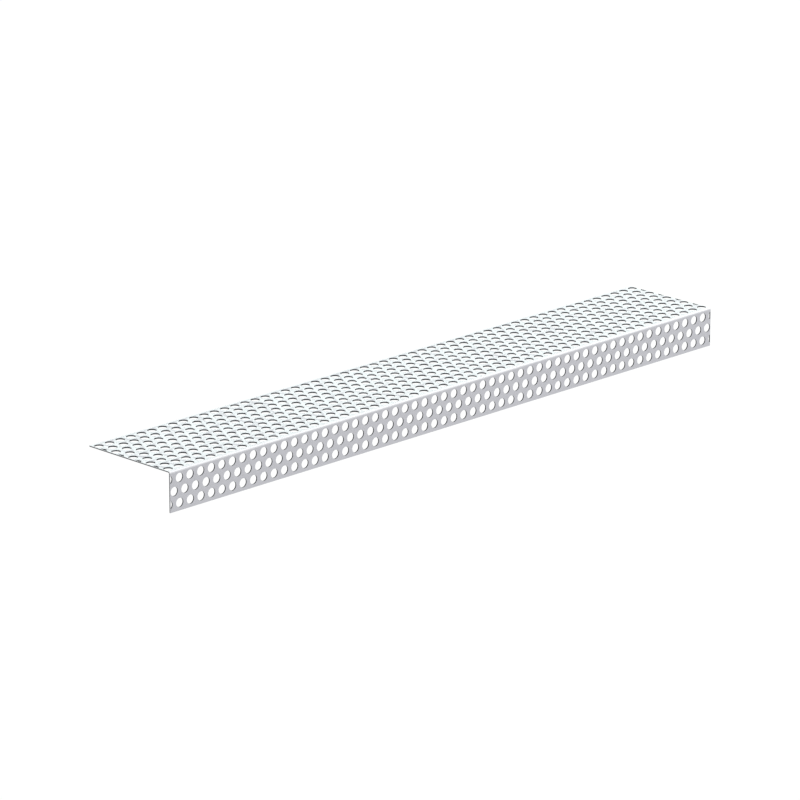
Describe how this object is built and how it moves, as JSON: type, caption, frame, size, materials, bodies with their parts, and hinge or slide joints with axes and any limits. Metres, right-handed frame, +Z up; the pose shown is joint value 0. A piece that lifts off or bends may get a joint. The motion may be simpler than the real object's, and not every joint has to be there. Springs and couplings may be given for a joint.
{
  "type": "perforated ventilation angle strip",
  "caption": "Straight angle strip folded from thin metal sheet, with staggered round holes all over both flanges, that closes a ventilation gap and lets air through.",
  "frame": {"origin": "halfway along the strip, on the inner face of the narrow flange, on the centre line of its middle row of holes, where the fixing screws go", "axes": "+X along the strip, +Y out of the narrow flange's inner face towards the free edge of the wide flange, +Z up, with the wide flange on top and the narrow flange hanging down"},
  "size_m": [0.502, 0.0745, 0.027],
  "materials": {
    "sheet": "mill-finish rolled sheet, soft satin, with bright punched edges"
  },
  "bodies": {
    "root": {"perforated_angle": "sheet"}
  },
  "joints": []
}
